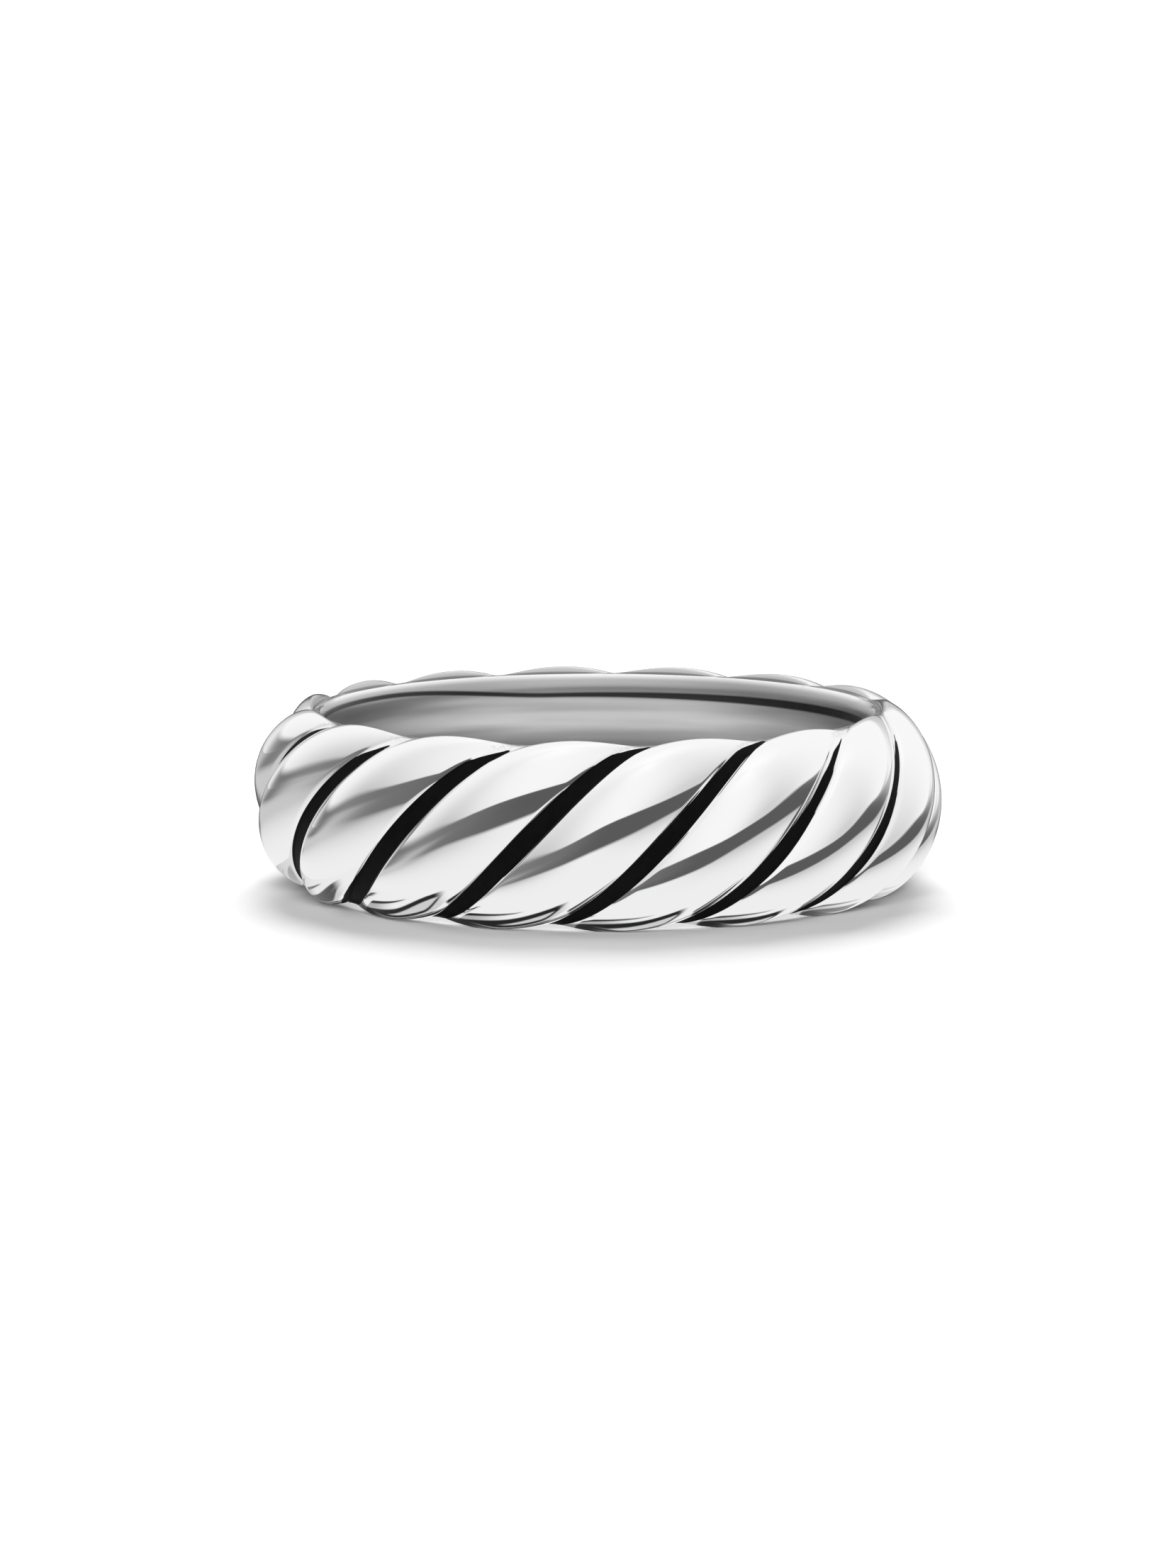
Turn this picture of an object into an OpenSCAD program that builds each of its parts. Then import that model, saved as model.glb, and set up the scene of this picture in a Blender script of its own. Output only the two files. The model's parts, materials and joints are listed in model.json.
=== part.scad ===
// Rope twist ring, lying on its side.
// Millimetres, +Z up along the finger. The origin is the middle of the finger hole,
// on the plane that the ring lies on.

/* [Ring] */
// Inside diameter of the finger hole
bore_d = 17.3; // [14:0.1:18.6]
// Outside diameter over the tops of the lobes
outer_d = 22; // [20.6:0.1:26]
// Width of the band along the finger, over the lobes
band_w = 5.9; // [3.5:0.1:10]

/* [Finger hole edge] */
// Height of the rounded edge at each end of the finger hole
edge_h = 0.55; // [0.2:0.05:1]
// How far the rounded edge opens the hole, measured along the radius
edge_w = 0.18; // [0.05:0.01:0.3]

/* [Plain rim] */
// Width of the flat rim where a lobe comes nearest the finger hole
rim_w = 0.14; // [0.05:0.01:0.3]
// How much wider the flat rim is where a groove runs out onto it
groove_end = 0.07; // [0.02:0.01:0.2]
// How far the flat rim lies below the highest line of the lobes
rim_drop = 0.21; // [0.05:0.01:0.5]
// Distance from the flat rim out to the highest line of a lobe
lobe_roll = 0.24; // [0.1:0.01:0.4]

/* [Rope] */
// Number of lobes round the ring
lobes = 15; // [8:1:20]
// Turn of a groove round the ring from one end of the band to the other, in degrees
twist = 41; // [5:1:80]
// Angle from +X to the first groove, at half the band's width, in degrees
groove_turn = 17.8; // [0:0.1:45]
// How far the edge of a lobe lies below its top
lobe_drop = 0.5; // [0.1:0.01:0.7]
// How far the highest line of a lobe lies off its middle, clockwise round the ring seen from above
crest_shift = 0.18; // [0:0.01:0.4]
// How flat the top of a lobe is, 2 is a plain curve and more is flatter
crown_power = 1.9; // [1.5:0.1:4]
// How full the band's section is, 1 is an oval and more is leaner
section_power = 1.35; // [1:0.05:1.8]

/* [Grooves] */
// Height of the walls of a groove, from its floor to the edges of the lobes
wall_h = 0.12; // [0.05:0.01:0.4]
// Width of a groove between the lobe edges, round the ring
groove_w = 0.91; // [0.4:0.01:1.4]
// How far each wall of a groove leans, round the ring
wall_lean = 0.1; // [0.02:0.01:0.18]

/* [Hidden] */

bore_r = bore_d / 2;
outer_r = outer_d / 2;
half_w = band_w / 2;
rim_z = half_w - rim_drop;            // height of the flat rim over half width
bore_half = rim_z - edge_h;           // half the length of the straight finger hole
edge_r = (pow(edge_h, 2) + pow(edge_w, 2)) / (2 * edge_w);  // radius of the rounded edge
rim_out = bore_r + edge_w + rim_w;    // where a lobe starts to rise from the flat rim
top_r = rim_out + lobe_roll;          // radius of the lobes' highest line
groove_depth = lobe_drop + wall_h;    // from the top of a lobe to the floor of a groove
floor_r = outer_r - groove_depth;     // radius of the groove floors at half width
floor_in = rim_out + groove_end;      // radius where a groove floor runs out onto the flat rim

// Widths round the ring as angles, in degrees
function turn_of(length) = length / outer_r * 180 / PI;
pitch = 360 / lobes;                             // from one groove to the next
groove_half = turn_of(groove_w / 2);
floor_half = turn_of(groove_w / 2 - wall_lean);
crest_at = pitch / 2 - turn_of(crest_shift);     // from the middle of a groove to the next crest

section_steps = 22;   // steps up the outside of the section
roll_steps = 2;       // steps over each rolled end of a lobe
lobe_steps = 10;      // steps across one lobe
top_v = 0.9;          // share of the section where the highest line lies

// Places up the section, -1 at the lower rim and 1 at the upper one
rows = concat(
    [for (i = [0:roll_steps - 1]) -1 + (1 - top_v) * i / roll_steps],
    [for (i = [0:section_steps]) top_v * (2 * i / section_steps - 1)],
    [for (i = [1:roll_steps]) top_v + (1 - top_v) * i / roll_steps]
);

// Places across one groove and the lobe after it: [degrees, height], where the height is 0 on
// the floor and 1 on the top. The steps across a lobe are closer near its edges.
function lobe_place(i) = let (s = 2 * i / lobe_steps - 1) sign(s) * pow(abs(s), 0.75);
columns = concat(
    [[0, 0], [floor_half, 0]],
    [for (i = [0:lobe_steps]) let (q = lobe_place(i))
        [crest_at + q * ((q < 0 ? crest_at : pitch - crest_at) - groove_half),
         1 - lobe_drop / groove_depth * pow(abs(q), crown_power)]],
    [[pitch - floor_half, 0]]
);

// Section over the top of a lobe: [radius, height]
function crest(v) = abs(v) <= top_v
    ? [top_r + (outer_r - top_r) * pow(cos(90 * v / top_v), section_power),
       half_w * sin(90 * v / top_v)]
    : let (t = (abs(v) - top_v) / (1 - top_v))
      [top_r - lobe_roll * sin(90 * t), sign(v) * (rim_z + rim_drop * cos(90 * t))];

// Section along the floor of a groove: [radius, height]
function groove_floor(v) =
    [floor_in + (floor_r - floor_in) * pow(max(cos(90 * v), 0), section_power),
     rim_z * sin(90 * v)];

// A point of the outside: step up the section, degrees round the ring, height of the lobe there
function outside(v, turn, height) =
    let (low = groove_floor(v), high = crest(v), p = low + height * (high - low),
         angle = groove_turn + turn + twist / 2 * v / top_v)
    [p[0] * cos(angle), p[0] * sin(angle), p[1]];

// The lobed outside, solid to the middle, with flat ends at the height of the rims
module rope_body() {
    per_lobe = len(columns);
    around = lobes * per_lobe;
    last = len(rows) - 1;
    points = concat(
        [for (v = rows) for (k = [0:lobes - 1]) for (c = columns) outside(v, k * pitch + c[0], c[1])],
        [[0, 0, -rim_z], [0, 0, rim_z]]
    );
    low_middle = len(points) - 2;
    high_middle = len(points) - 1;
    function at(row, i) = row * around + (i % around);
    walls = [for (row = [0:last - 1]) for (i = [0:around - 1]) each [
        [at(row, i), at(row + 1, i + 1), at(row, i + 1)],
        [at(row, i), at(row + 1, i), at(row + 1, i + 1)]
    ]];
    low_end = [for (i = [0:around - 1]) [low_middle, at(0, i), at(0, i + 1)]];
    high_end = [for (i = [0:around - 1]) [high_middle, at(last, i + 1), at(last, i)]];
    polyhedron(points = points, faces = concat(walls, low_end, high_end), convexity = 10);
}

// The finger hole: a straight bore whose ends open in a rounded edge
module finger_hole() {
    rotate_extrude($fn = 128)
        difference() {
            translate([0, -half_w - 1])
                square([bore_r + edge_w + rim_w / 2, band_w + 2]);
            translate([bore_r, -bore_half])
                square([edge_r, 2 * bore_half]);
            for (side = [-1, 1])
                translate([bore_r + edge_r, side * bore_half])
                    circle(r = edge_r, $fn = 96);
        }
}

module band() {
    color("silver")
        translate([0, 0, half_w])
            difference() {
                rope_body();
                finger_hole();
            }
}

band();
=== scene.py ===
import json
import math

import bpy
import numpy as np
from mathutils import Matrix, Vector


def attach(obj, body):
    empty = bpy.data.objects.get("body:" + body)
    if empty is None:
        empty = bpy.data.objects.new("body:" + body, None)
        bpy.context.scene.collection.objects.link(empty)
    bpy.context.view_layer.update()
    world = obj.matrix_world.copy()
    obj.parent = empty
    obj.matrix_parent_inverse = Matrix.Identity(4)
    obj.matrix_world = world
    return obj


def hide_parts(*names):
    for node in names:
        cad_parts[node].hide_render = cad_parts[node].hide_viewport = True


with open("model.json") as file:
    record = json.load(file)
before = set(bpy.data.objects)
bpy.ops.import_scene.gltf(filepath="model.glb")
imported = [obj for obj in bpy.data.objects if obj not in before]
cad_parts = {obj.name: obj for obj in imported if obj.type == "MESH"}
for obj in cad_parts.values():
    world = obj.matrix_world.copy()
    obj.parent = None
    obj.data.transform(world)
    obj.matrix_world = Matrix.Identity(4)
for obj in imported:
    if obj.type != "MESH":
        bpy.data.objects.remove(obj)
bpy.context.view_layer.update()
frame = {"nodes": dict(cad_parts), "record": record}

# Band
# The ring is one casting in sterling silver. Its outside is carved into slanted lobes, like the
# strands of a rope, which are polished to a mirror. The flat floors of the grooves between them
# are oxidised black, and the finger hole is smooth, with rounded edges.

MM = 0.001
cad_points = np.array([v.co for v in frame["nodes"]["band"].data.vertices]) / MM
band_w = np.ptp(cad_points[:, 2])                              # along the finger
outer_r = np.hypot(cad_points[:, 0], cad_points[:, 1]).max()   # over the lobes
bore_r = frame["record"]["mounts"][0]["dims"]["r_mm"]          # the finger hole

# The sizes that the solid has too, in millimetres and degrees
edge_h, edge_w = 0.55, 0.18        # rounded edge of the finger hole, along and across the finger
rim_w = 0.14                       # flat rim where a lobe comes nearest the finger hole
groove_end = 0.07                  # the rim is this much wider where a groove runs out onto it
rim_drop = 0.21                    # from the lobes' highest line down to the rim
lobe_roll = 0.24                   # from the rim out to the lobes' highest line
lobes = 15
twist = 41.0                       # turn of a groove round the ring over the whole band
groove_turn = 17.8                 # from +X to the first groove, at half the band's width
lobe_drop = 0.50                   # from a lobe's top down to its edge
crest_shift = 0.18                 # a lobe's highest line lies this far off its middle
crown_power = 1.9                  # how flat the top of a lobe is
section_power = 1.35               # how full the band's section is
wall_h, wall_lean = 0.12, 0.10     # height and lean of a groove's walls
groove_w = 0.91                    # between the lobe edges
top_v = 0.9                        # share of the section where the highest line lies

# Only the finer surface here has this
edge_round = 0.07                  # softening of the lobe edges and of the groove floors' corners

half_w = band_w / 2
rim_z = half_w - rim_drop
bore_half = rim_z - edge_h
edge_r = (edge_h ** 2 + edge_w ** 2) / (2 * edge_w)
rim_out = bore_r + edge_w + rim_w
top_r = rim_out + lobe_roll
groove_depth = lobe_drop + wall_h
floor_r = outer_r - groove_depth
floor_in = rim_out + groove_end
pitch = 2 * math.pi * outer_r / lobes          # from one groove to the next, round the ring
crest_at = pitch / 2 - crest_shift


def soft_min(a, b, reach):
    """The smaller of a and b, with the corner between them rounded over a reach."""
    near = np.clip(1 - np.abs(a - b) / reach, 0, 1)
    return np.minimum(a, b) - near ** 2 * reach / 4


def lobe_height(across):
    """Height over the groove floor at a distance round the ring from the middle of a groove: 0 on
    the floor, a leaning wall, then depth - drop * |q|^power over the lobe, with q from -1 to 1."""
    from_groove = np.minimum(across, pitch - across)
    wall = (from_groove - groove_w / 2 + wall_lean) * wall_h / wall_lean
    side = np.where(across < crest_at, crest_at, pitch - crest_at) - groove_w / 2
    q = np.clip(np.abs(across - crest_at) / side, 0, 1.2)
    crown = groove_depth - lobe_drop * q ** crown_power
    return -soft_min(-soft_min(wall, crown, edge_round), 0, edge_round)


def crest_line(v):
    """Section over the top of a lobe, as radius and height at a share v of the way up, -1 to 1: a
    power of a cosine over the lobe, then a quarter oval down to the rim."""
    angle = np.pi / 2 * np.clip(v / top_v, -1, 1)
    roll = np.pi / 2 * np.clip((np.abs(v) - top_v) / (1 - top_v), 0, 1)
    radius = top_r + (outer_r - top_r) * np.clip(np.cos(angle), 0, 1) ** section_power
    radius = radius - lobe_roll * np.sin(roll)
    rolled_z = np.sign(v) * (rim_z + rim_drop * np.cos(roll))
    height = np.where(roll > 0, rolled_z, half_w * np.sin(angle))
    return radius, height


def floor_line(v):
    """Section along the floor of a groove, as radius and height at a share v of the way up: the
    same power of a cosine, from rim to rim."""
    angle = np.pi / 2 * v
    radius = floor_in + (floor_r - floor_in) * np.clip(np.cos(angle), 0, 1) ** section_power
    return radius, rim_z * np.sin(angle)


def eased(low, high, count, closer):
    """count + 1 places from low to high, closer together at both ends, by closer from 0 to 1."""
    even = np.linspace(0, 1, count + 1)
    return low + (high - low) * (even - closer * np.sin(2 * np.pi * even) / (2 * np.pi))


def joined(*runs):
    """Runs of places that share their end places, as one run."""
    return np.concatenate([run[:-1] for run in runs] + [runs[-1][-1:]])


# Columns: across one groove and the lobe after it, closest over the walls and edges
floor_end = groove_w / 2 - wall_lean - 0.05
corner_end = groove_w / 2 - wall_lean + 0.03
wall_end = groove_w / 2 + 0.06
half_groove = joined(np.linspace(0, floor_end, 4),
                     np.linspace(floor_end, corner_end, 5),
                     np.linspace(corner_end, wall_end, 7))
lobe_run = eased(half_groove[-1], pitch - half_groove[-1], 26, 0.8)
across = joined(half_groove, lobe_run, (pitch - half_groove)[::-1])[:-1]
per_lobe = len(across)

# Rows up the outside, from the lower rim to the upper one
half_up = joined(np.linspace(0, top_v, 31), top_v + (1 - top_v) * np.linspace(0, 1, 8))
up = joined(-half_up[::-1], half_up)

share_up = up[:, None]
place_across = np.tile(across, lobes)[None, :]
height_share = lobe_height(place_across) / groove_depth
crest_rad, crest_z = crest_line(share_up)
floor_rad, floor_z = floor_line(share_up)
radius = floor_rad + height_share * (crest_rad - floor_rad)
height = floor_z + height_share * (crest_z - floor_z)
lobe_number = np.repeat(np.arange(lobes), per_lobe)[None, :]
start = lobe_number * 2 * np.pi / lobes + math.radians(groove_turn)
turn = start + place_across / outer_r + math.radians(twist) / 2 * share_up / top_v

# Rows back through the finger hole: over the rim, round the edge, down the bore and out again.
# They end two lobes further round, where the slant has brought the lower rim's columns.
rim_rows, edge_rows, bore_rows = 5, 12, 9
arc = np.linspace(math.asin(edge_h / edge_r), 0, edge_rows)
rim_run = np.linspace(rim_out - 0.02, bore_r + edge_w + 0.01, rim_rows)
inner_r = np.concatenate([rim_run, bore_r + edge_r * (1 - np.cos(arc)), np.full(bore_rows, bore_r)])
inner_z = np.concatenate([np.full(rim_rows, rim_z), bore_half + edge_r * np.sin(arc),
                          np.linspace(bore_half, 0, bore_rows + 1)[1:]])
inner_r = np.concatenate([inner_r, inner_r[:-1][::-1]])
inner_z = np.concatenate([inner_z, -inner_z[:-1][::-1]])
shift = 2
way = np.linspace(0, 1, len(inner_r) + 2)[1:-1, None]
inner_turn = turn[-1] * (1 - way) + (turn[0] + shift * 2 * np.pi / lobes) * way

radius = np.concatenate([radius, np.broadcast_to(inner_r[:, None], inner_turn.shape)])
height = np.concatenate([height, np.broadcast_to(inner_z[:, None], inner_turn.shape)])
turn = np.concatenate([turn, inner_turn])
points = np.stack([radius * np.cos(turn), radius * np.sin(turn), half_w + height], axis=-1)
rows, around = radius.shape

index = np.arange(rows * around).reshape(rows, around)
above = np.concatenate([index[1:], np.roll(index[:1], -shift * per_lobe, axis=1)])
quads = np.stack([index, np.roll(index, -1, 1), np.roll(above, -1, 1), above], axis=-1).reshape(-1, 4)


def as_mesh(name, vertices, faces):
    """A smooth mesh object from an array of points in metres and an array of four-sided faces."""
    mesh = bpy.data.meshes.new(name)
    mesh.vertices.add(len(vertices))
    mesh.vertices.foreach_set("co", vertices.astype(np.float32).ravel())
    mesh.loops.add(faces.size)
    mesh.loops.foreach_set("vertex_index", faces.astype(np.int32).ravel())
    mesh.polygons.add(len(faces))
    mesh.polygons.foreach_set("loop_start", np.arange(0, faces.size, 4, dtype=np.int32))
    mesh.polygons.foreach_set("use_smooth", np.ones(len(faces), bool))
    mesh.update(calc_edges=True)
    mesh.validate()
    shown = bpy.data.objects.new(name, mesh)
    bpy.context.scene.collection.objects.link(shown)
    return shown


ring = as_mesh("rope_twist_band", points.reshape(-1, 3) * MM, quads)

# Where the finish changes, as attributes of the band's surface
outside = np.arange(rows)[:, None] < len(up)
all_v = np.concatenate([up, np.zeros(len(inner_r))])[:, None]
from_middle = (place_across + pitch / 2) % pitch - pitch / 2      # signed, from a groove's middle
groove_index = (lobe_number + (place_across > pitch / 2)) % lobes


def step(value, low, high):
    """0 below low and 1 above high, with a smooth rise between them."""
    share = np.clip((value - low) / (high - low), 0, 1)
    return share * share * (3 - 2 * share)


def attribute(shown, name, values, kind="FLOAT"):
    """Writes an array as a point attribute of a mesh."""
    made = shown.data.attributes.new(name, kind, "POINT")
    made.data.foreach_set("value" if kind == "FLOAT" else "vector", values.astype(np.float32).ravel())


# The black fills a groove up to the middle of its walls and runs down to the lower rim. Near the
# upper rim it leans the way the groove runs on and closes like a leaf, with a bulge before the tip
# of a long one. Each of the grooves in view has its own end. Beside one groove, painted shade
# widens the black onto the foot of the lobe over the lower half.
in_view = slice(8, 14)
black_half = 0.41                                # mm: half the width of the black
tip_at = 0.12                                    # mm: from a groove's middle to the leaf's tip
bulge = 0.28                                     # mm: how far the bulge goes beyond black_half
soft_edge = 0.02                                 # mm: softness of the black's edges
ends_at = np.full(lobes, 0.92)                   # share of the section where the black ends
ends_at[in_view] = 0.77, 0.84, 0.98, 0.98, 0.79, 0.66
thins_by = np.full(lobes, 0.15)                  # share of its width lost towards the upper rim
thins_by[in_view] = 0.15, 0.0, 0.0, 0.15, 0.55, 0.5
# Painted shade: how far the black spills onto the foot of the lobe beside one groove, in mm
painted_shade_spill_by = np.zeros(lobes)                      # mm: onto the foot of the lobe beside one groove
painted_shade_spill_by[9] = 0.40
end_v = ends_at[groove_index]
half_black = black_half * (1 - thins_by[groove_index] * step(all_v, -0.3, 0.6))
leaf = step(all_v, end_v - 0.24, end_v)
low_side = -half_black + (half_black + tip_at) * leaf
low_side = low_side - painted_shade_spill_by[groove_index] * (1 - step(all_v, -0.75, -0.25))
bulge_here = bulge * np.exp(-((all_v - end_v + 0.17) / 0.07) ** 2 / 2) * (end_v > 0.8)
high_side = half_black + bulge_here - (half_black - tip_at) * step(all_v, end_v - 0.12, end_v)
black = step(from_middle, low_side - soft_edge, low_side + soft_edge)
black = black * (1 - step(from_middle, high_side - soft_edge, high_side + soft_edge))
black = black * (1 - step(all_v, end_v - 0.01, end_v + 0.01)) * outside
attribute(ring, "blackening", black)

# The rim and the ends of the grooves keep some of the casting's grain
groove_mouth = outside * step(np.abs(all_v), 0.74, 0.84) * (1 - step(np.abs(from_middle), 0.5, 0.75))
flat_rim = ~outside * step(np.abs(height), rim_z - 0.03, rim_z - 0.01)
attribute(ring, "grain_left", np.maximum(groove_mouth, 0.5 * flat_rim))
# Painted shade darkens the crease where a lobe meets the rim, and the lobes' ends, which are also rougher
attribute(ring, "crease", outside * step(np.abs(all_v), 0.975, 0.99) * np.ones_like(radius))
attribute(ring, "lobe_end", outside * step(np.abs(all_v), 0.90, 0.95) * np.ones_like(radius))
attribute(ring, "inside", ~outside * (1 - step(np.abs(height), rim_z - 0.25, rim_z - 0.02)))

# Places on the strands, in mm: across a lobe, along it, and a third that sets the lobes apart
over_half = 1.6 * half_w
lobes_apart = 7.0
along = np.concatenate([share_up * over_half, np.zeros((len(inner_r), 1))])
on_strand = np.stack(np.broadcast_arrays(place_across, along, lobe_number * lobes_apart), axis=-1)
attribute(ring, "strand", on_strand, "FLOAT_VECTOR")


class Channel:
    """One socket of a finish's node tree. Arithmetic on it adds Math nodes."""

    def __init__(self, finish, socket):
        self.finish, self.socket = finish, socket

    def math(self, operation, *others):
        return self.finish.add("ShaderNodeMath", {"operation": operation}, dict(enumerate((self, *others))))

    def __add__(self, other):
        return self.math("ADD", other)

    def __mul__(self, other):
        return self.math("MULTIPLY", other)

    def __sub__(self, other):
        return self.math("SUBTRACT", other)

    def __rsub__(self, other):
        return self.math("MULTIPLY_ADD", -1.0, other)

    def __abs__(self):
        return self.math("ABSOLUTE")

    __radd__, __rmul__ = __add__, __mul__

    def between(self, low, high):
        """0 below low, 1 above high, smooth in between."""
        return self.finish.add("ShaderNodeMapRange", {"interpolation_type": "SMOOTHSTEP"},
                               {"Value": self, "From Min": low, "From Max": high})


class Nodes:
    """A node tree that is put together from empty."""

    def __init__(self, tree):
        self.tree = tree
        tree.nodes.clear()

    def add(self, kind, settings, sockets, output=0):
        """Adds a node: its settings first, then the values or links of its sockets."""
        node = self.tree.nodes.new(kind)
        for name, value in settings.items():
            setattr(node, name, value)
        for name, value in sockets.items():
            if isinstance(value, Channel):
                self.tree.links.new(value.socket, node.inputs[name])
            else:
                node.inputs[name].default_value = value
        return Channel(self, node.outputs[output])

    def mix(self, factor, first, second):
        """A colour between two, by a factor from 0 to 1."""
        return self.add("ShaderNodeMix", {"data_type": "RGBA"}, {0: factor, 6: first, 7: second}, output=2)

    def noise(self, vector, scale, detail):
        return self.add("ShaderNodeTexNoise", {}, {"Vector": vector, "Scale": scale, "Detail": detail})

    def mask(self, name):
        """The numbers of one of the surface's attributes."""
        return self.add("ShaderNodeAttribute", {"attribute_name": name}, {}, output="Fac")

    def part(self, vector, axis):
        """One number of a vector: its X, Y or Z."""
        return self.add("ShaderNodeSeparateXYZ", {}, {0: vector}, output=axis)

    def scaled(self, vector, factors):
        return self.add("ShaderNodeVectorMath", {"operation": "MULTIPLY"}, {0: vector, 1: factors})

    def end(self, kind, shader):
        """Adds the output node that the shader goes to."""
        self.tree.links.new(shader.socket, self.tree.nodes.new(kind).inputs["Surface"])


class Finish(Nodes):
    """A material and the nodes that make its surface."""

    def __init__(self, name):
        self.material = bpy.data.materials.new(name)
        self.material.use_nodes = True
        super().__init__(self.material.node_tree)

    def made_of(self, shader):
        self.end("ShaderNodeOutputMaterial", shader)
        return self.material


def grey(value):
    """A neutral colour of one brightness."""
    return (value, value, value, 1)


# Finish of the lobes: bright polished silver in faint waves along each strand, softer at the lobes'
# ends, where painted shade darkens them and the crease at their foot, and mottled where the casting's grain
# is left
PER_MM = 1 / MM
MICRON = 1e-6
BRIGHT_SILVER = (0.95, 0.95, 0.955, 1)
silver = Finish("polished_silver")
place = silver.add("ShaderNodeTexCoord", {}, {}, output="Object")
strand = silver.add("ShaderNodeAttribute", {"attribute_name": "strand"}, {}, output="Vector")
grain = silver.noise(place, 12 * PER_MM, detail=2)
cloud = silver.noise(place, 0.5 * PER_MM, detail=2)
waves = silver.noise(silver.scaled(strand, (0.8, 0.12, 1.0)), 1.0, detail=1)
mottled = (grain + cloud * 0.5 - 0.25).between(0.40, 0.70) * silver.mask("grain_left")
tone = silver.mix(mottled * 0.22, BRIGHT_SILVER, grey(0.33))

# Satin in the finger hole: pale streaks round it, with painted shade that darkens it half way along,
# greys the rounded edges and draws a thin dark line below each edge, lower and wider on +X
inside = silver.mask("inside")
level = silver.part(place, "Z") * PER_MM - half_w
sideways = silver.part(place, "X") * PER_MM
streaks = silver.noise(silver.scaled(place, (50.0, 50.0, 800.0)), 1.0, detail=3).between(0.36, 0.64)
fine_lines = silver.noise(silver.scaled(place, (90.0, 90.0, 5000.0)), 1.0, detail=2)
satin_and_shade = silver.mix(streaks, grey(0.42), grey(0.99))
# Painted shade darkens the finger hole half way along
satin_and_shade = silver.mix((1 - abs(level).between(0.45, 1.15)) * 0.8, satin_and_shade, grey(0.20))
# Painted shade darkens the lobes' ends
tone = silver.mix(inside, silver.mix(silver.mask("lobe_end"), tone, grey(0.55)), satin_and_shade)
# Painted shade in the crease at each lobe's foot
tone = silver.mix(silver.mask("crease") * 0.8, tone, grey(0.12))
from_edge = abs(level) - bore_half
# Painted shade greys the rounded edges of the finger hole
tone = silver.mix(from_edge.between(-0.15, 0.05) * inside, tone, grey(0.50))
line_drop = sideways.between(-7.0, -1.5) * 0.36 - 0.24
line_half = sideways.between(-2.0, 7.0) * 0.06 + 0.035
# A thin painted shade line below each edge of the finger hole
painted_shade_line = (1 - (abs(from_edge + line_drop) - line_half).between(0.0, 0.08)) * inside
tone = silver.mix(painted_shade_line * 0.95, tone, grey(0.03))

roughness = 0.03 + cloud * 0.015 + silver.mask("lobe_end") * 0.10 + mottled * 0.25
roughness = roughness + inside * (0.24 + fine_lines * 0.04)
bumps = grain * silver.mask("grain_left") * 0.8 + waves * 4.0 * (1 - inside)
relief = silver.add("ShaderNodeBump", {}, {"Strength": 1.0, "Distance": MICRON, "Height": bumps})
polished = silver.add("ShaderNodeBsdfPrincipled", {}, {"Base Color": tone, "Metallic": 1.0,
                                                       "Roughness": roughness, "Normal": relief})

# Matt black, a little cloudy, where the grooves are oxidised and where painted shade spills onto one lobe's
# foot
soot = silver.mix(silver.noise(place, 3 * PER_MM, detail=3).between(0.35, 0.7), grey(0.0028), grey(0.0038))
matt = silver.add("ShaderNodeBsdfPrincipled", {}, {"Base Color": soot, "Roughness": 0.6,
                                                   "Specular IOR Level": 0.05})
skin = silver.add("ShaderNodeMixShader", {}, {0: silver.mask("blackening").between(0.35, 0.65),
                                              1: polished, 2: matt})
ring.data.materials.append(silver.made_of(skin))

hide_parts("band")
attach(ring, "root")

# Floor
# A plain pale table top that the ring lies on. It is matt, and wide enough to fill the picture
# from any side.

TABLE_HALF = 3.0                                 # m
PAPER_TONE = 0.94
corners = np.array([[-1, -1, 0], [1, -1, 0], [1, 1, 0], [-1, 1, 0]]) * TABLE_HALF
table = as_mesh("table_top", corners, np.array([[0, 1, 2, 3]]))
paper = Finish("white_paper")
matt_paper = paper.add("ShaderNodeBsdfDiffuse", {}, {"Color": grey(PAPER_TONE)})
table.data.materials.append(paper.made_of(matt_paper))

# Studio light
# Soft lamps in front, behind and on both sides light the table and give the soft shadow. They stand
# far enough away for the whole picture to lie in their light. Reflections don't see them.

AIR_LIGHT = 0.10                                 # faint light from all round, white to the camera
sky = bpy.data.worlds.new("studio")
bpy.context.scene.world = sky
sky.use_nodes = True
dome = Nodes(sky.node_tree)
seen = dome.add("ShaderNodeLightPath", {}, {}, output="Is Camera Ray")
air_tone = dome.mix(seen, grey(AIR_LIGHT), grey(1.0))
air = dome.add("ShaderNodeBackground", {}, {"Color": air_tone, "Strength": 1.0})
dome.end("ShaderNodeOutputWorld", air)


def soft_lamp(name, around, rise, away, wide, tall, watts):
    """An oval lamp that points at the ring. around is 0 on the camera's side and 90 on +X, and rise
    is the height above the table, both in degrees. Lengths are in metres."""
    lamp = bpy.data.lights.new(name, "AREA")
    lamp.shape = "ELLIPSE"
    lamp.size, lamp.size_y = wide, tall
    lamp.energy = watts
    held = bpy.data.objects.new(name, lamp)
    turned, raised = math.radians(around), math.radians(rise)
    outwards = Vector((math.sin(turned), -math.cos(turned), 0)) * math.cos(raised)
    held.location = (outwards + Vector((0, 0, math.sin(raised)))) * away
    held.rotation_mode = "QUATERNION"
    held.rotation_quaternion = (-held.location).to_track_quat("-Z", "Y")
    held.visible_glossy = False
    bpy.context.scene.collection.objects.link(held)


soft_lamp("front_lamp", around=0, rise=25, away=1.0, wide=0.50, tall=0.50, watts=8.0)
soft_lamp("rear_lamp", around=180, rise=37, away=1.0, wide=0.60, tall=1.45, watts=14.7)
soft_lamp("left_lamp", around=-90, rise=45, away=0.8, wide=0.58, tall=0.58, watts=1.08)
soft_lamp("right_lamp", around=90, rise=45, away=0.8, wide=0.58, tall=0.58, watts=1.08)

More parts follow.
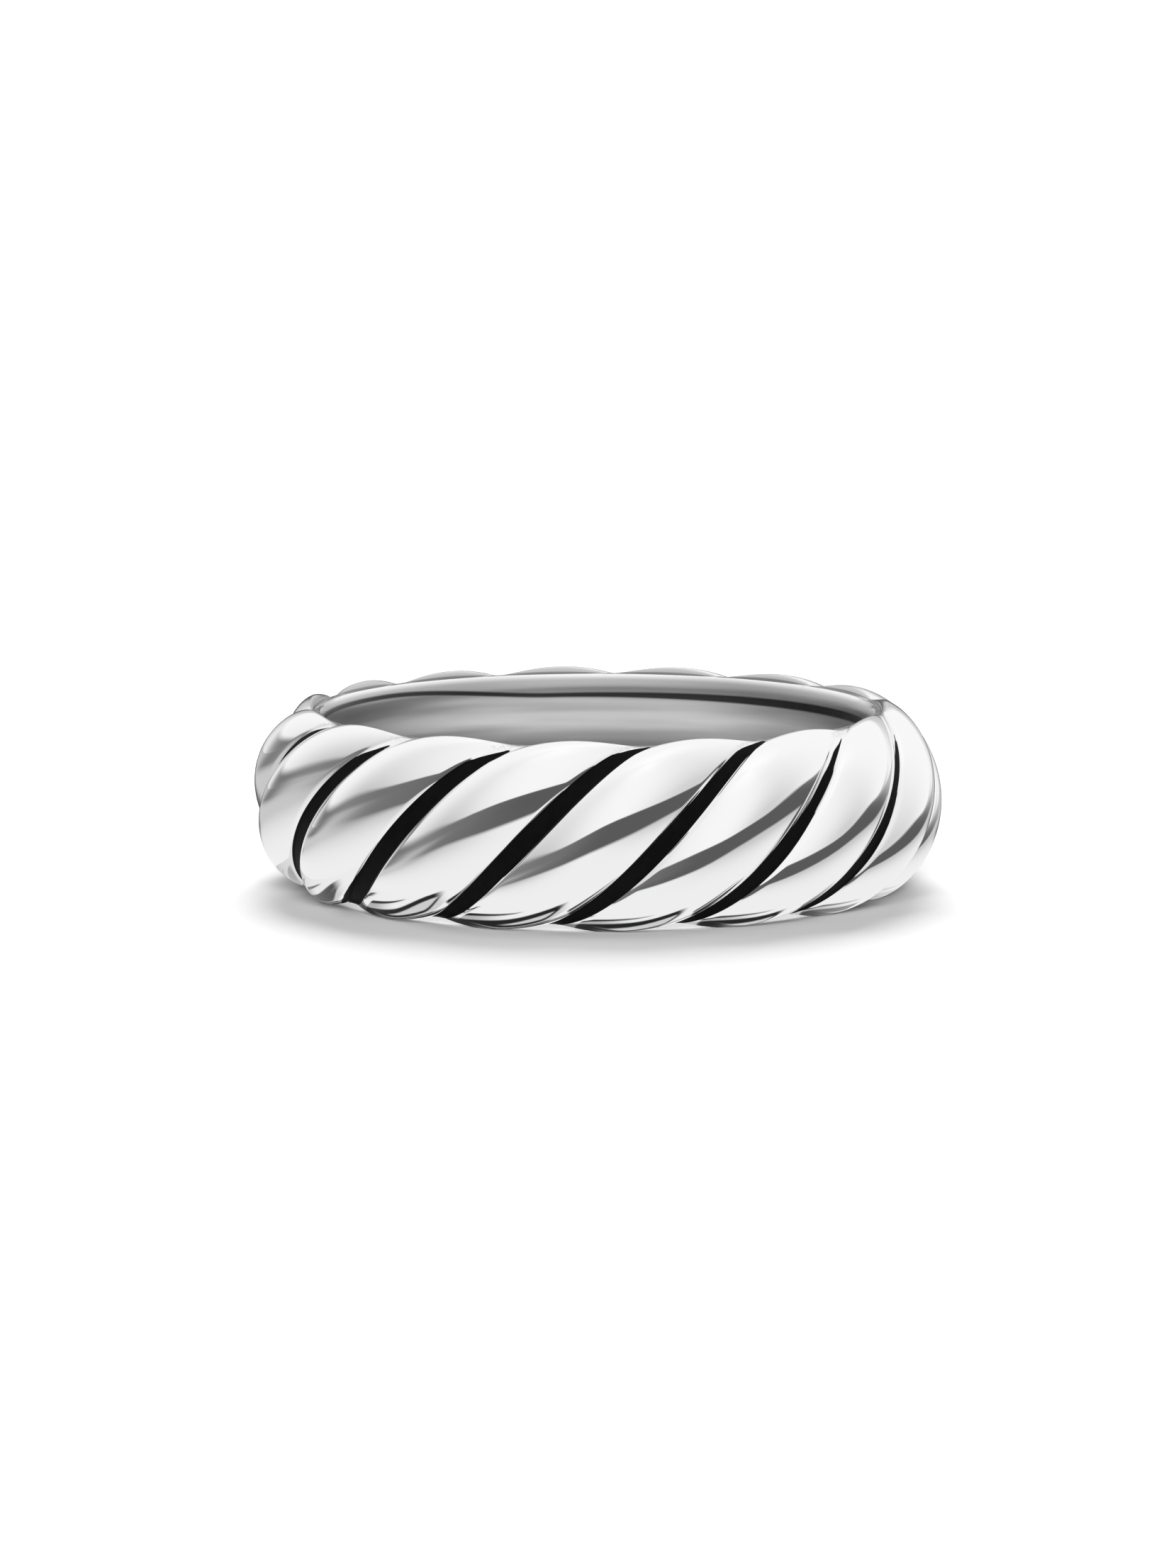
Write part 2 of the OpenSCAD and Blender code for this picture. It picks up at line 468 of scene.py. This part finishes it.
# Light tent
# What the polish shows is a tent that only reflections see: white above, with a low grey band all
# round, and a pale cloth on the table. Its brightness is shaped after the photograph.

azimuth = np.linspace(-180, 180, 145)[:-1]       # degrees: 0 is the camera's side, 90 is +X


def hill(at, width, places=azimuth):
    """A smooth hill of height 1 round the circle, with its place and width in degrees."""
    apart = (places - at + 180) % 360 - 180
    return np.exp(-(apart / width) ** 2 / 2)


def hills(base, *humps, places=azimuth):
    """A base value with hills on it, each given as (height, place, width)."""
    return base + sum(height * hill(at, width, places) for height, at, width in humps)


def laid_over(under, over, cover):
    """One brightness over another, where cover goes from 0 to 1."""
    return under * (1 - cover) + over * cover


def facing(places):
    """Directions round the circle in the plane of the table."""
    return np.stack([np.sin(np.radians(places)), -np.cos(np.radians(places))], -1)


def laid_out(radii, places, z):
    """Points of flat rings round the middle, at radii in rows and places in columns."""
    xy = radii[..., None] * facing(places)
    return np.concatenate([xy, np.full(xy.shape[:2] + (1,), z)], -1)


def reflected(name, places, xyz, tone):
    """A sheet that only reflections see, with a brightness at each point. Its grid has a column for
    each of the places round the circle and a row for each row of xyz. Where the light has come off
    the table it is a dim grey all over, so that the ring throws no bright spots on the table."""
    count = len(places)
    here = np.arange(count)
    ahead = (here + 1) % count
    one_row = np.stack([here, ahead, ahead + count, here + count], -1)
    faces = np.concatenate([one_row + row * count for row in range(len(xyz) - 1)])
    sheet = as_mesh(name, xyz.reshape(-1, 3) * MM, faces)
    attribute(sheet, "tone", tone)
    surface = Finish(name)
    off_table = surface.add("ShaderNodeLightPath", {}, {}, output="Diffuse Depth")
    shown_tone = surface.mix(off_table, surface.mask("tone"), grey(0.2))
    shine = surface.add("ShaderNodeEmission", {}, {"Color": shown_tone, "Strength": 1.0})
    sheet.data.materials.append(surface.made_of(shine))
    sheet.visible_camera = sheet.visible_diffuse = False
    sheet.visible_shadow = sheet.visible_transmission = False


# The grey band stands from the cloth up to an uneven edge, which is soft on the left. Behind the
# ring it is paler and higher, with a dark part low down that outlines the lobes as they turn away.
# Heights are in degrees above the middle of the ring.
behind = 180, 20                                 # place and width of the hill behind the ring
on_left = hill(-85, 16)
far_behind = 0.75 * (1 - step(180 - np.abs(azimuth), 11, 17))
band_tone = hills(0.105 + 0.065 * (1 - step(azimuth, -45, 12)), (0.50, *behind), (-0.10, -165, 8))
band_cover = np.clip(hills(1, (-0.80, -148, 10), (-0.95, 142, 14)) - 0.15 * on_left, 0, 1)
band_top = hills(8, (6, -72, 22), (5.5, -12, 22), (-4.5, 66, 20), (-7, 120, 14), (22, *behind))
band_soft = hills(1.0, (4.5, -92, 26), (1.5, 90, 10), (6, *behind))

# Rows down the sky
TENT_R = 200.0                                   # mm: radius of the tent
tilt = np.concatenate([np.linspace(90, 34, 15), np.linspace(32, -0.84, 67)])[:, None]
faded = np.exp(-np.clip(tilt - 12, 0, None) / 35)
white = 0.98 - faded * hills(0, (0.45, -72, 28), (0.32, 68, 22)) + 0.06 * step(tilt, 60, 85)
band_here = band_cover * (1 - step(tilt, band_top - band_soft, band_top + band_soft))
band_here = band_here * (1 - 0.8 * on_left * (1 - step(tilt, -4, 5)))
sky_tone = laid_over(white, band_tone, band_here) * (1 - far_behind * (1 - step(tilt, 6, 14)))
sky_xy = TENT_R * np.cos(np.radians(tilt))[..., None] * facing(azimuth)
sky_z = half_w + TENT_R * np.sin(np.radians(tilt)) + 0 * azimuth
sky_xyz = np.concatenate([sky_xy, sky_z[..., None]], -1)

# Rows inwards over the table, where the cloth is pale near the ring and the band begins further out
GAP_OUT = 10.8                                   # mm: outside this radius the table is in the light
SHEET_Z = 0.02                                   # mm: the sheets lie this far above the table
reach = np.concatenate([np.geomspace(190, 25, 20), np.linspace(24.5, GAP_OUT, 48)])[:, None]
cloth_edge = hills(17.8, (8, -92, 18), (14, -135, 20), (1.5, -40, 18), (2, 56, 20), (12, 140, 20))
cloth_soft = hills(1.4, (6, -85, 26), (4, -135, 20))
pale = 0.90 - 0.30 * step(reach, 11, 18) * (1 - hill(0, 16)) - 0.10 * on_left * step(reach, 15, 80)
# Painted shade darkens the cloth close to the ring behind it
pale = pale * (1 - 0.65 * hill(-170, 22) * (1 - step(reach, 14, 20)))
band_here = band_cover * step(reach, cloth_edge - cloth_soft, cloth_edge + cloth_soft)
band_here = band_here * (1 - 0.8 * on_left)
cloth_tone = laid_over(pale, band_tone, band_here)

# A dark lane on the cloth behind the ring, wider further away, for the thin outline at its sides
LANE_SPREAD = 0.17
cloth_xy = reach[..., None] * facing(azimuth)
off_lane = np.abs(cloth_xy[..., 0]) - LANE_SPREAD * cloth_xy[..., 1]
lane = (1 - step(off_lane, 12.2, 15.2)) * step(cloth_xy[..., 1], 4, 9)
cloth_tone = cloth_tone * (1 - 0.80 * lane)
tent_xyz = np.concatenate([sky_xyz, laid_out(reach, azimuth, SHEET_Z)])
reflected("light_tent", azimuth, tent_xyz, np.concatenate([sky_tone, cloth_tone]))

# Painted shade below the ring
# A sheet that only reflections see is painted with the shade on the table below the ring, and with
# painted light where light leaks in between the lobes. Each lobe has a hook, from its left outwards
# and back on its right, round a bright lens and a sliver. A thin streak with a grey wedge lies
# outside the hook's start, and fades towards the right of the ring.

LOBE_TURN = 360 / lobes
LOBE_LENGTH = math.radians(LOBE_TURN) * 9.8      # mm along the table below one lobe
SHADE_START = -28.5                              # degrees: where the hook of one lobe starts
HOOK_R = 9.38                                    # mm: radius where a hook starts
CORNER, BLUR = 0.03, 0.03                        # mm: rounding of its corners, softness of its edges
SHADE_TONE = 0.02                                # brightness of the hooks and streaks
FOOT_TONE = 0.03                                 # and of the dark line that the hooks start from
INNER_TONE = 1.25                                # and of the table inside the finger hole
fine = np.linspace(-180, 180, 901)[:-1]
gap_r = np.concatenate([np.linspace(GAP_OUT, 9.0, 61), np.linspace(8.9, 0, 24)])[:, None]
round_lobe = (fine - SHADE_START) % LOBE_TURN / LOBE_TURN


def within(*depths):
    """1 inside several edges and 0 outside, from the depth in mm inside each, with round corners:
    a step on the soft minimum of the depths."""
    depth = -CORNER * np.log(sum(np.exp(-np.clip(d, -1, 1) / CORNER) for d in depths))
    return step(depth, -BLUR, BLUR)


lit = hills(0.90, (-0.45, -115, 25), places=fine) + 0 * gap_r
grown = hills(1, (0.08, -45, 20), (-0.35, 75, 25), places=fine)
to_the_right = step(fine, -20, 15)
strength = hills(1 - 0.5 * step(fine, 35, 70), (-1.1, -108, 22), (-0.6, 105, 22), places=fine)
strength = np.clip(strength, 0, 1)
arm_end = 1.06 - 0.38 * step(fine, -5, 60) - 0.14 * (1 - step(fine, -58, -46))
hump = 0.24 * (1 - step(fine, -32, -20))
above_hook = 0.50 - 0.25 * step(fine, -52, 8)
streak_w = 0.24 - 0.08 * step(fine, -48, 8)
for neighbour in (-1, 0, 1):
    passed = round_lobe - neighbour              # share of the lobe's length
    past_start = LOBE_LENGTH * passed
    slope = HOOK_R + grown * (1.25 * passed - 0.33 * passed ** 2)
    hook = slope + hump * step(passed, 0.45, 0.85)
    before_end = LOBE_LENGTH * (arm_end - 0.30 * (1 - step(gap_r, 9.1, 10.1)) - passed)
    hooked = within(hook - gap_r, past_start, before_end) * (1 - step(passed, arm_end - 0.14, arm_end))
    lower_line = 9.52 + 0.32 * passed ** 2 - 0.20 * to_the_right
    lower_line = lower_line + 0.60 * step(passed, arm_end - 0.30, arm_end)
    bright_lens = within(gap_r - lower_line, hook - 0.26 - gap_r) * step(fine, -60, -50)
    sliver = within(gap_r - 9.46, lower_line - 0.15 - gap_r)
    streak_r = slope + above_hook
    tail = np.clip(1 - passed / 0.65, 0, 1)
    streak = within(streak_r - gap_r, gap_r - streak_r + streak_w * tail ** 0.6, past_start)
    streak = streak * step(tail, 0, 0.15)
    wedge = within(streak_r - gap_r, gap_r - hook, past_start) * (1 - step(passed, 0.1, 0.5))
    dark = hooked * (1 - 0.70 * np.maximum(bright_lens, sliver))
    dark = np.maximum(dark, np.maximum(streak, 0.5 * wedge))
    lit = laid_over(lit, SHADE_TONE, dark * strength)
foot = (1 - step(gap_r, 9.36, 9.46)) * strength * (1 - 0.6 * to_the_right)
lit = laid_over(lit, FOOT_TONE, foot)
# Thin painted highlight lines across the dark foot
for glint_r in (9.26, 9.38):
    glint = np.exp(-((gap_r - glint_r - 0.10 * round_lobe) / 0.022) ** 2) * step(round_lobe, 0.1, 0.4)
    lit = lit + 0.45 * glint * (1 - lit)
# Painted light on the table inside the finger hole
lit = laid_over(lit, INNER_TONE, 1 - step(gap_r, 8.9, 9.1))
reflected("shade_below", fine, laid_out(gap_r + 0 * fine, fine, SHEET_Z), lit)

# Camera
# A long lens a little above the ring, as in the photograph. Its place and aim come from where the
# photograph shows the middle of the ring and how large.

photo_size = (1659, 2212)
rise = math.radians(8.15)
distance = 231.6                       # mm from the middle of the ring
scale = 44.36                          # photo pixels per mm at the middle of the ring
ring_seen_at = (842.9, 1120.2)         # where the photo shows the middle of the ring
away = Vector((0, -math.cos(rise), math.sin(rise)))
upward = Vector((0, math.sin(rise), math.cos(rise)))
middle = Vector((0, 0, half_w))
aside = Vector(((photo_size[0] / 2 - ring_seen_at[0]) / scale, 0, 0))
aim = middle + aside + upward * ((ring_seen_at[1] - photo_size[1] / 2) / scale)
lens = bpy.data.cameras.new("camera")
lens.sensor_fit, lens.sensor_width = "AUTO", 36
lens.lens = scale * distance * lens.sensor_width / photo_size[1]
lens.clip_start, lens.clip_end = 0.001, 20
camera = bpy.data.objects.new("camera", lens)
camera.location = (middle + away * distance) * MM
camera.rotation_mode = "QUATERNION"
camera.rotation_quaternion = (aim * MM - camera.location).to_track_quat("-Z", "Y")
bpy.context.scene.collection.objects.link(camera)
bpy.context.scene.camera = camera
bpy.context.scene.view_settings.view_transform = "Standard"
